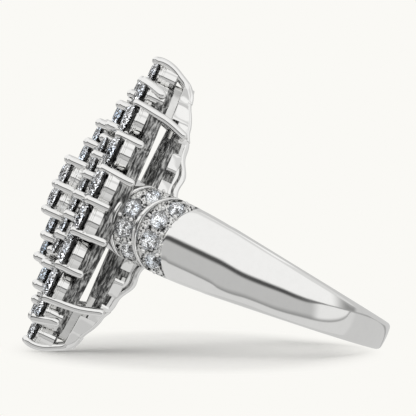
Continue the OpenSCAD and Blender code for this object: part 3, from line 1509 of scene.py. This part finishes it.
@dataclass
class Plate:
    """The plate over the slot, with a light hole behind each stone."""

    outline: Outline = Outline(21.6, 11.5, 3.0)
    top: float = 12.45
    thick: float = 0.9
    # Radius of a light hole, as a share of its stone's diameter
    hole: float = 0.35
    hole_sides: int = 24
    bevel: float = 0.05
    edge_steps: int = 120

    def make(self, stones: Sequence[StonePlace]) -> bpy.types.Object:
        """Builds the plate from a filled outline.

        Args:
            stones: The stones above it.

        Returns:
            The piece.
        """
        curve = bpy.data.curves.new("plate_outline", "CURVE")
        curve.dimensions = "2D"
        curve.fill_mode = "BOTH"
        curve.extrude = self.thick / 2 - self.bevel
        curve.bevel_depth = self.bevel
        curve.bevel_resolution = 2
        reach = self.outline.reach
        edge = [self.outline.at(u, self.bevel, 1) for u in steps(-reach, reach, self.edge_steps)]
        edge += [self.outline.at(u, self.bevel, -1) for u in steps(reach, -reach, self.edge_steps)]
        self.add_loop(curve, edge)
        for s in stones:
            hole = polygon(s.dia * self.hole + self.bevel, 0.0, 0.0, self.hole_sides)
            self.add_loop(curve, [(s.u + u, s.v + v) for u, v, _ in hole])
        holder = bpy.data.objects.new("plate_outline", curve)
        bpy.context.scene.collection.objects.link(holder)
        flat = bpy.data.meshes.new_from_object(holder.evaluated_get(bpy.context.evaluated_depsgraph_get()))
        middle = self.top - self.thick / 2
        skin = Surface(RingFinish.CAST_SHADED)
        points = [(p.co.x, p.co.y, p.co.z + middle) for p in flat.vertices]
        skin.add(points, [face.vertices for face in flat.polygons])
        bpy.data.objects.remove(holder)
        bpy.data.curves.remove(curve)
        bpy.data.meshes.remove(flat)
        return skin.build("plate", sharp_deg=30.0)

    def add_loop(self, curve: bpy.types.Curve, points: Section) -> None:
        """Adds a closed line to the outline.

        Args:
            curve: The outline.
            points: Its corners.
        """
        line = curve.splines.new("POLY")
        line.points.add(len(points) - 1)
        for spot, (x, y) in zip(line.points, points):
            spot.co = (x, y, 0.0, 1.0)
        line.use_cyclic_u = True


@dataclass
class Collets:
    """The cups under the stones of the head: polished above, cast below with painted shade, and a
    near-black cone of painted shade inside.
    """

    wall: float = 0.12
    low: float = 12.15
    plate_low: float = 11.56
    # Where the cast part of a cup ends, in the middle of the head and from tip_u on
    split: float = 12.7
    tip_split: float = 12.0
    tip_u: float = 8.0
    # Girdles over this height belong to the inner rows, whose cups are polished all the way down
    high: float = 14.3
    # The end stones lie beyond this distance from the middle, and their cups are plain
    end_u: float = 10.0
    end_low: float = 11.72
    # How far a cup's top stays below the girdle, and its gap to the stone
    below: float = 0.42
    gap: float = 0.04
    # Radius of the light hole and depth where it meets the stone, as shares of the stone's diameter
    hole: float = 0.35
    light_top: float = 0.15
    # Grooves round a cup: half their height and their depth, the step from one to the next, and the
    # plain height that stays at the foot
    line: float = 0.06
    tier: float = 0.95
    foot_clear: float = 0.2
    foot_inset: float = 0.04
    # Collar at the top of a cup: how far in from its outside, and how far below its top
    collar: Rows = ((0.0, 0.3), (0.07, 0.25), (0.07, 0.17), (0.0, 0.12), (0.0, 0.05), (0.04, 0.0))
    # Seat under a stone's edge, a cone whose near-black finish is painted shade: how far below it starts,
    # its gap to the stone and its thickness
    seat_top: float = 0.07
    seat_gap: float = 0.02
    seat_thick: float = 0.06
    sides: int = 40

    def radius_at(self, s: StonePlace, drop: float) -> float:
        """Returns a stone's radius at a depth below the middle of its girdle."""
        return s.dia / 2 - max(drop - Cut.HALF_GIRDLE * s.dia, 0.0) / (2 * Cut.PAVILION)

    def split_at(self, s: StonePlace) -> float:
        """Returns w of the border between the cast and the polished part of a cup."""
        return self.tip_split if abs(s.u) > self.tip_u else self.split

    def profile(self, s: StonePlace) -> Section:
        """Draws the polished part of a cup.

        Args:
            s: Its stone.

        Returns:
            Pairs of radius and w, all round.
        """
        outer = s.dia / 2 + self.wall
        top = s.w - self.below
        low = self.split_at(s) if s.w < self.high else self.low
        grooves = math.floor((top - low - self.foot_clear) / self.tier) if top - low > self.tier else 0
        if abs(s.u) > self.end_u:
            low, grooves = self.end_low, 0
        rows = [(outer, low)]
        for k in range(grooves, 0, -1):
            at = top - self.tier * k
            rows += [(outer, at - self.line), (outer - self.line, at), (outer, at + self.line)]
        rows += [(outer - inset, top - drop) for inset, drop in self.collar]
        lip = self.radius_at(s, self.below) + self.gap + self.seat_thick
        hole = s.dia * self.hole
        light = s.w - self.light_top * s.dia - self.gap
        return rows + [(lip, top), (hole, light), (hole, low), (outer, low)]

    def foot(self, s: StonePlace) -> Section:
        """Draws the cast part of a cup, dark with painted shade, between the plate and the polished part.

        Args:
            s: Its stone.

        Returns:
            Pairs of radius and w, all round.
        """
        outer = s.dia / 2 + self.wall - self.foot_inset
        hole = s.dia * self.hole
        high, low = self.split_at(s), self.plate_low
        return [(outer, low), (outer, high), (hole, high), (hole, low), (outer, low)]

    def seat(self, s: StonePlace) -> Section:
        """Draws the thin cone that a stone sits in, near black with painted shade.

        Args:
            s: Its stone.

        Returns:
            Pairs of radius and w, all round.
        """
        high, low = s.w - self.seat_top, s.w - self.below - self.seat_gap
        inner = [self.radius_at(s, s.w - w) + self.seat_gap for w in (high, low)]
        outer = [r + self.seat_thick for r in inner]
        return [(outer[1], low), (outer[0], high), (inner[0], high), (inner[1], low), (outer[1], low)]

    def make(self, stones: Sequence[StonePlace]) -> bpy.types.Object:
        """Builds all the cups as one piece.

        Args:
            stones: The stones that they hold.

        Returns:
            The piece.
        """
        skin = Surface(RingFinish.POLISHED)
        for s in stones:
            middle = (s.u, s.v, 0.0)
            skin.lathe(self.profile(s), middle, self.sides)
            # Painted shade: a near-black cone round each stone's pavilion
            skin.lathe(self.seat(s), middle, self.sides, RingFinish.SEAT_SHADE)
            if s.w < self.high and abs(s.u) < self.end_u:
                skin.lathe(self.foot(s), middle, self.sides, RingFinish.CAST_SHADED)
        return skin.build("collets", sharp_deg=25.0)


@dataclass
class Prongs:
    """Upright, long and tip prongs of the head."""

    radius: float = 0.3
    short_radius: float = 0.35
    # Shape of a prong's section, 2 for round and more for flatter sides, and its corners
    power: float = 3.0
    sides: int = 32
    bend_parts: int = 5
    end_deg: tuple[float, ...] = (0, 20, 40, 58, 75)
    low: float = 11.95
    # Paths of the outer row's prongs in one quarter
    outer: tuple[tuple[Point, ...], ...] = (
        ((0, 5.02, 14.45), (0, 5.02, 12.2)),
        ((2.5, 4.7, 14.4), (2.4, 5.2, 12.8), (2.35, 5.4, 11.55)),
        ((5.13, 3.85, 14.3), (5.13, 4.4, 13.2), (5.12, 4.65, 12.05)),
        ((9.5, 1.4, 14.0), (9.35, 2.05, 13.2), (9.12, 2.4, 12.5), (8.97, 2.46, 12.0)))
    # Upright prongs in one quarter: u, v and w of the tip
    upright: tuple[Point, ...] = (
        (0, 3.1, 15.25), (1.6, 3.02, 15.25), (3.15, 2.55, 15.2), (4.5, 1.25, 15.1),
        (0, 1.5, 16.6), (2.0, 1.12, 16.55), (3.72, 0.66, 15.85), (5.35, 0.62, 15.65),
        (5.5, 1.6, 15.1), (7.2, 0.86, 14.85), (8.25, 0, 14.5))
    long_path: tuple[Point, ...] = (
        (7.8, 2.75, 14.0), (7.72, 3.25, 13.1), (7.62, 3.58, 12.2), (7.5, 3.7, 11.3), (7.25, 3.76, 10.4),
        (6.95, 3.82, 9.5))
    tip_path: tuple[Point, ...] = (
        (11.1, 0.48, 13.8), (11.3, 0.48, 13.15), (11.19, 0.48, 12.3), (10.77, 0.5, 11.4),
        (10.36, 0.62, 10.68), (9.85, 1.3, 10.25), (9.25, 1.85, 10.1))
    # Radius of a tip prong's thin end, and the shares of its length over which it thins
    thin: float = 0.19
    thinning: tuple[float, float] = (0.66, 0.86)

    def rod(self, skin: Surface, path: Sequence[Point], radius: float, thin: float) -> None:
        """Adds a rod with round ends.

        Args:
            skin: Where to add it.
            path: Points along its middle, from tip to tip.
            radius: Its radius.
            thin: Radius of its far end.
        """
        line = flowing(path, self.bend_parts)
        last = len(line) - 1
        widths = [table(list(zip(self.thinning, (radius, thin))), i / last) for i in range(last + 1)]
        bend = [math.radians(a) for a in self.end_deg]
        start = (line[0] - line[1]).normalized()
        finish = (line[-1] - line[-2]).normalized()
        near, far = widths[0], widths[-1]
        points = [line[0] + start * near * (math.cos(a) - 1) for a in bend]
        radii = [near * math.sin(a) for a in bend]
        for spot, width in zip(line, widths):
            if (spot - line[0]).length > near and (spot - line[-1]).length > far:
                points.append(spot)
                radii.append(width)
        points += [line[-1] + finish * far * (math.cos(a) - 1) for a in bend[::-1]]
        radii += [far * math.sin(a) for a in bend[::-1]]
        skin.tube(points, radii, self.sides, self.power)

    def make_kind(self, name: str, paths: Sequence[Sequence[Point]], radius: float,
                  thin: float | None = None) -> bpy.types.Object:
        """Builds one kind of prong in all four quarters of the head.

        Args:
            name: The piece's name.
            paths: The prongs' middles in the first quarter.
            radius: Their radius.
            thin: Radius of their far ends; None keeps them alike all along.

        Returns:
            The piece.
        """
        skin = Surface(RingFinish.POLISHED)
        for path in paths:
            for i, j in mirror_signs(path[0]):
                self.rod(skin, [(i * u, j * v, w) for u, v, w in path], radius, thin or radius)
        return skin.build(name, sharp_deg=60.0)

    def make(self) -> list[bpy.types.Object]:
        """Builds each kind of prong as a piece.

        Returns:
            The pieces.
        """
        upright = [((u, v, w), (u, v, self.low)) for u, v, w in self.upright]
        return [
            self.make_kind("outer_prongs", self.outer, self.short_radius),
            self.make_kind("upright_prongs", upright, self.short_radius),
            self.make_kind("long_prongs", [self.long_path], self.radius),
            self.make_kind("tip_prongs", [self.tip_path], self.radius, self.thin),
        ]


@dataclass
class Pave:
    """Small brilliants and their beads in the sunk beds of the shoulders."""

    shank: Shank
    # Stones of half a bed: u, height on the dome and diameter
    stones: tuple[PaveStone, ...] = (
        PaveStone(0.8, 11.12, 1.36), PaveStone(2.12, 10.14, 1.16),
        PaveStone(0.8, 9.16, 1.36), PaveStone(2.04, 8.34, 1.16))
    # Beads of half a bed: u, height on the dome and diameter
    beads: tuple[PaveStone, ...] = (
        PaveStone(0.0, 11.68, 0.36), PaveStone(0.0, 10.84, 0.34), PaveStone(1.56, 11.06, 0.36),
        PaveStone(1.48, 10.22, 0.36), PaveStone(0.55, 10.34, 0.24), PaveStone(2.6, 9.58, 0.24),
        PaveStone(0.0, 9.72, 0.36), PaveStone(0.0, 8.5, 0.34), PaveStone(1.56, 9.14, 0.38),
        PaveStone(1.4, 8.16, 0.34), PaveStone(0.7, 8.26, 0.22), PaveStone(2.5, 7.78, 0.26))
    # How deep a stone's girdle lies below the dome, how high a bead stands over it, and how deep
    # a bead is rooted under the bed's floor
    sink: float = 0.16
    bead_rise: float = 0.2
    bead_root: float = 0.05
    bead_deg: tuple[float, ...] = (25, 50, 72, 90)
    bead_sides: int = 12
    # Distance over which the slope of the dome is measured
    probe: float = 0.05

    def spot(self, place: PaveStone, side: int, sink: float) -> tuple[Vector, Vector]:
        """Finds a place on the shoulder and the way out of it.

        Args:
            place: Where it is in the side view.
            side: 1 or -1.
            sink: Depth below the dome.

        Returns:
            The place and the direction.
        """
        moved = ((0.0, 0.0), (self.probe, 0.0), (0.0, self.probe))
        points = [Vector(self.shank.straight_point(place.u + u, place.w + w, sink, side)) for u, w in moved]
        out = (points[1] - points[0]).cross(points[2] - points[0]).normalized()
        return points[0], out if out.y * side > 0 else -out

    def make_stones(self) -> bpy.types.Object:
        """Builds all the small stones as one piece.

        Returns:
            The piece.
        """
        skin = Surface(RingFinish.STONE)
        turns = random.Random(7)
        for side in (-1, 1):
            for s in self.stones:
                for end in (1, -1):
                    middle, out = self.spot(PaveStone(end * s.u, s.w, s.dia), side, self.sink)
                    Brilliant(s.dia).add_to(skin, middle, out, turns.uniform(0.0, 1.0))
        return skin.build("pave_stones")

    def make_beads(self) -> bpy.types.Object:
        """Builds the beads that hold the small stones as one piece.

        Returns:
            The piece.
        """
        skin = Surface(RingFinish.POLISHED)
        depth = self.shank.bed + self.bead_root
        for side in (-1, 1):
            for b in self.beads:
                for end in (1, -1) if b.u else (1,):
                    foot, out = self.spot(PaveStone(end * b.u, b.w, b.dia), side, depth)
                    self.add_bead(skin, foot, out, b.dia / 2)
        return skin.build("pave_beads", sharp_deg=60.0)

    def add_bead(self, skin: Surface, foot: Vector, out: Vector, radius: float) -> None:
        """Adds a bead with a round top.

        Args:
            skin: Where to add it.
            foot: Its root in the bed.
            out: The way out of the bed.
            radius: Its radius.
        """
        rise = self.shank.bed + self.bead_root + self.bead_rise - radius
        path = [foot - out * self.bead_root, foot, foot + out * rise]
        radii = [0.0, radius, radius]
        for turn in (math.radians(a) for a in self.bead_deg):
            path.append(foot + out * (rise + radius * math.sin(turn)))
            radii.append(radius * math.cos(turn))
        skin.tube(path, radii, self.bead_sides)


@dataclass
class HeadStones:
    """The forty brilliants of the head, each in place of its own CAD solid."""

    places: Sequence[StonePlace]

    def make(self) -> None:
        """Builds each stone."""
        turns = random.Random(3)
        out = Vector((0.0, 0.0, 1.0))
        for s in self.places:
            skin = Surface(RingFinish.BLUE_STONE if s.node.startswith("ridge") else RingFinish.STONE)
            Brilliant(s.dia).add_to(skin, Vector((s.u, s.v, s.w)), out, turns.uniform(0.0, 0.8))
            stone = skin.build(s.node + "_cut")
            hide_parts(s.node)


@dataclass(frozen=True)
class Camera:
    """The view at the photograph's angle, in millimetres."""

    yaw_deg: float = -5.0
    rise_deg: float = 2.4
    distance: float = 400.0
    frame_w: float = 30.35
    sensor: float = 36.0
    target: Point = (0.1, 0.0, 10.41)

    def make(self) -> None:
        """Sets up the camera."""
        yaw, rise = math.radians(self.yaw_deg), math.radians(self.rise_deg)
        back = Vector((math.sin(yaw) * math.cos(rise), -math.cos(yaw) * math.cos(rise), math.sin(rise)))
        lens = bpy.data.cameras.new("camera")
        lens.sensor_width = self.sensor
        lens.lens = self.sensor * self.distance / self.frame_w
        lens.clip_start = 0.01
        lens.clip_end = 5.0
        eye = bpy.data.objects.new("camera", lens)
        eye.location = (Vector(self.target) + back * self.distance) * MM
        eye.rotation_mode = "QUATERNION"
        eye.rotation_quaternion = (-back).to_track_quat("-Z", "Y")
        bpy.context.scene.collection.objects.link(eye)
        bpy.context.scene.camera = eye


@dataclass(frozen=True)
class Area:
    """A soft-edged part of the light round the ring, and its brightness.

    Each pair is where it fades in, in degrees: to the right of the front, and above a line. A pair
    that falls fades out instead.
    """

    tone: float
    swing: tuple[float, float]
    rise: tuple[float, float]

    def over(self, wires: Wiring, tone: Signal, swing: Signal, rise: Signal) -> bpy.types.NodeSocket:
        """Lays the area over the light so far.

        Args:
            wires: The world's wiring.
            tone: The brightness so far.
            swing: Degrees to the right of the front.
            rise: Degrees above the area's line.

        Returns:
            The new brightness.
        """
        aside = self.fade(wires, swing, *self.swing)
        share = wires.math("MULTIPLY", aside, self.fade(wires, rise, *self.rise))
        return wires.pick(share, tone, self.tone)

    def fade(self, wires: Wiring, value: Signal, first: float, last: float) -> bpy.types.NodeSocket:
        """Returns the share that rises from 0 at first to 1 at last, in either direction."""
        return wires.span(value, first, last) if first < last else wires.span(value, last, first, 1.0, 0.0)


@dataclass(frozen=True)
class Studio:
    """The soft light round the ring: a panel, grey walls, a low table and a thin dark gap between them."""

    backdrop: Point = (0.956, 0.947, 0.913)
    # Brightness of the panel, the wall above it, the bench, the low table and the far right
    panel: float = 0.95
    wall: float = 0.74
    bench: float = 0.54
    table: float = 0.7
    right: float = 0.62
    right_swing: tuple[float, float] = (84.0, 90.0)
    # A bright spot on the bench, a shade low on the panel, and light from high on the right and from
    # low on the left for the ends of the head
    spot: Area = Area(0.85, (38.0, 50.0), (0.0, 6.0))
    shade: Area = Area(0.3, (58.0, 78.0), (6.0, -4.0))
    sky: Area = Area(0.98, (25.0, 45.0), (42.0, 50.0))
    deep: Area = Area(0.6, (-25.0, -45.0), (-45.0, -55.0))
    # The bench darkens towards the low table: its tone there, and how many degrees above it fades out
    edge_tone: float = 0.3
    edge_fade: float = 8.0
    # Softness of the panel's, the table's and the gap's edges, in degrees
    panel_soft: float = 5.0
    table_soft: float = 1.2
    gap_soft: float = 0.6
    # Tone of the gap at the left and right of gap_swing, and where it fades, as shares of its half width
    gap_tone: tuple[float, float] = (0.08, 0.38)
    gap_swing: tuple[float, float] = (15.0, 80.0)
    gap_fade: tuple[float, float] = (0.25, 1.3)
    light_tint: Point = (1.0, 0.998, 0.99)
    # Edges in the light round the ring: degrees to the right of the front, and above the horizon
    gap_line: Rows = (
        (-180, 0), (-100, 16), (-60, 19), (-41, 15.5), (-16.5, 3), (9, -5.5), (35, -13.5), (50, -14),
        (82, -15), (180, -10))
    table_line: Rows = (
        (-180, -14), (-60, -12), (-52, -15), (-47, -20), (-21, -27), (5, -35), (35, -37), (60, -34),
        (76, -25), (84, -15), (180, -15))
    panel_line: Rows = (
        (-180, 66), (-60, 70), (-24, 67), (22, 39), (42, 17.6), (67, -0.8), (85, -9), (180, -9))
    gap_half: Rows = ((-180, 4.8), (-20, 4.8), (9, 4.2), (35, 3.2), (50, 1.3), (60, 0.8), (180, 0.8))
    # Glints that the stones pick up: size of the cells, where they switch, and both tones
    sparkle_scale: float = 5.0
    sparkle_edge: tuple[float, float] = (0.4, 0.46)
    sparkle_tone: tuple[float, float] = (0.4, 3.0)
    sparkle_tint: Point = (0.97, 0.985, 1.0)

    def make(self, floor: Point) -> None:
        """Lights the ring from all round.

        Args:
            floor: The floor's colour, which the light brings up to the backdrop's.
        """
        world = bpy.data.worlds.new("studio")
        world.use_nodes = True
        bpy.context.scene.world = world
        wires = Wiring(world.node_tree)
        way = wires.node("ShaderNodeTexCoord").outputs["Generated"]
        right = wires.along(way, Vector((1, 0, 0)))
        front = wires.along(way, Vector((0, -1, 0)))
        up = wires.along(way, Vector((0, 0, 1)))
        rise = wires.math("MULTIPLY", wires.math("ARCSINE", up), math.degrees(1.0))
        swing = wires.math("MULTIPLY", wires.math("ARCTAN2", right, front), math.degrees(1.0))
        mirrored = wires.scaled(self.light_tint, self.mirror_tone(wires, swing, rise))
        cells = wires.noise(way, self.sparkle_scale, 0.0)
        glints = wires.scaled(self.sparkle_tint, wires.span(cells, *self.sparkle_edge, *self.sparkle_tone))
        soft = tuple(a / b for a, b in zip(self.backdrop, floor))
        rays = wires.node("ShaderNodeLightPath").outputs
        color = wires.blend(rays["Is Transmission Ray"], mirrored, glints)
        color = wires.blend(rays["Is Diffuse Ray"], color, soft)
        color = wires.blend(rays["Is Camera Ray"], color, self.backdrop)
        wires.feed(world.node_tree.nodes["Background"].inputs["Color"], color)

    def mirror_tone(self, wires: Wiring, swing: Signal, rise: Signal) -> bpy.types.NodeSocket:
        """Works out how bright each direction is for the polished metal.

        Args:
            wires: The world's wiring.
            swing: Degrees to the right of the ring's front.
            rise: Degrees above the horizon.

        Returns:
            The brightness.
        """
        over_gap = wires.math("SUBTRACT", rise, wires.bent(swing, self.gap_line))
        over_table = wires.math("SUBTRACT", rise, wires.bent(swing, self.table_line))
        over_panel = wires.math("SUBTRACT", rise, wires.bent(swing, self.panel_line))
        above = wires.pick(wires.span(over_panel, -self.panel_soft, self.panel_soft), self.panel, self.wall)
        above = self.shade.over(wires, above, swing, over_panel)
        above = self.sky.over(wires, above, swing, rise)
        bench = wires.pick(wires.span(over_table, 0.0, self.edge_fade), self.edge_tone, self.bench)
        below = wires.pick(wires.span(over_table, -self.table_soft, self.table_soft), self.table, bench)
        below = self.spot.over(wires, below, swing, over_table)
        below = self.deep.over(wires, below, swing, rise)
        tone = wires.pick(wires.span(over_gap, -self.gap_soft, self.gap_soft), below, above)
        tone = wires.pick(wires.span(swing, *self.right_swing), tone, self.right)
        near = wires.math("DIVIDE", wires.math("ABSOLUTE", over_gap), wires.bent(swing, self.gap_half))
        dark = wires.span(swing, *self.gap_swing, *self.gap_tone)
        return wires.pick(wires.span(near, *self.gap_fade, 1.0, 0.0), tone, dark)


@dataclass(frozen=True)
class Floor:
    """A pale floor that fades into the backdrop away from the ring."""

    color: Point = (0.86, 0.855, 0.84)
    reach: float = 900.0
    rough: float = 0.9
    shine: float = 0.1
    grain_scale: float = 900.0
    grain_tone: tuple[float, float] = (0.985, 1.0)
    # Where its own shading shows: middle and half sizes of an oval, and shares of them where it fades
    patch: tuple[float, float] = (-1.0, 0.0)
    patch_half: tuple[float, float] = (14.0, 26.0)
    fade: tuple[float, float] = (0.65, 1.0)

    def make(self, backdrop: Point) -> None:
        """Lays the floor.

        Args:
            backdrop: The backdrop's colour.
        """
        mesh = bpy.data.meshes.new("floor")
        corners = ((-1, -1), (1, -1), (1, 1), (-1, 1))
        reach = self.reach * MM
        mesh.from_pydata([(x * reach, y * reach, 0) for x, y in corners], [], [range(4)])
        floor = bpy.data.objects.new("floor", mesh)
        bpy.context.scene.collection.objects.link(floor)
        mesh.materials.append(self.material(backdrop))
        floor.visible_glossy = False

    def material(self, backdrop: Point) -> bpy.types.Material:
        """Makes the floor's material.

        Args:
            backdrop: The backdrop's colour.

        Returns:
            The material.
        """
        made = bpy.data.materials.new("floor_pale")
        made.use_nodes = True
        wires = Wiring(made.node_tree)
        shader = made.node_tree.nodes["Principled BSDF"]
        shader.inputs["Roughness"].default_value = self.rough
        shader.inputs["Specular IOR Level"].default_value = self.shine
        place = wires.node("ShaderNodeTexCoord").outputs["Object"]
        grain = wires.span(wires.noise(place, self.grain_scale, 2.0), 0.3, 0.7, *self.grain_tone)
        wires.feed(shader.inputs["Base Color"], wires.scaled(self.color, grain))
        glow = wires.node("ShaderNodeEmission")
        glow.inputs["Color"].default_value = rgba(backdrop)
        seen = wires.node("ShaderNodeLightPath").outputs["Is Camera Ray"]
        blended = wires.node("ShaderNodeMixShader")
        wires.feed(blended.inputs["Fac"], wires.math("MULTIPLY", seen, self.far(wires, place)))
        wires.feed(blended.inputs[1], shader.outputs["BSDF"])
        wires.feed(blended.inputs[2], glow.outputs["Emission"])
        wires.feed(made.node_tree.nodes["Material Output"].inputs["Surface"], blended.outputs["Shader"])
        return made

    def far(self, wires: Wiring, place: Signal) -> bpy.types.NodeSocket:
        """Works out how much of the backdrop shows in place of the floor.

        Args:
            wires: The material's wiring.
            place: The place on the floor.

        Returns:
            The share, 0 in the middle of the patch and 1 outside it.
        """
        aside = wires.node("ShaderNodeVectorMath", operation="SUBTRACT")
        wires.feed(aside.inputs[0], place)
        aside.inputs[1].default_value = (self.patch[0] * MM, self.patch[1] * MM, 0.0)
        ratio = wires.node("ShaderNodeVectorMath", operation="DIVIDE")
        wires.feed(ratio.inputs[0], aside.outputs[0])
        ratio.inputs[1].default_value = (self.patch_half[0] * MM, self.patch_half[1] * MM, 1.0)
        length = wires.node("ShaderNodeVectorMath", operation="LENGTH")
        wires.feed(length.inputs[0], ratio.outputs[0])
        return wires.span(length.outputs["Value"], *self.fade)


def main() -> None:
    """Builds the ring's pieces and the studio round them."""
    logging.basicConfig(level=logging.INFO, format="%(message)s")
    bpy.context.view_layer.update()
    studio = Studio()
    floor = Floor()
    Camera().make()
    studio.make(floor.color)
    floor.make(studio.backdrop)
    bpy.context.scene.view_settings.view_transform = "Standard"
    nodes = sorted(frame["nodes"].items())
    stones = [StonePlace.of_node(name, obj) for name, obj in nodes if name != METAL_NODE]
    shank = Shank()
    pave = Pave(shank)
    metal = [shank.make(), Gallery().make(), Plate().make(stones), Collets().make(stones)]
    metal += Prongs().make() + [pave.make_beads()]
    for piece in metal:
        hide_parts(METAL_NODE)
    pave.make_stones()
    HeadStones(stones).make()


if __name__ == "__main__":
    main()
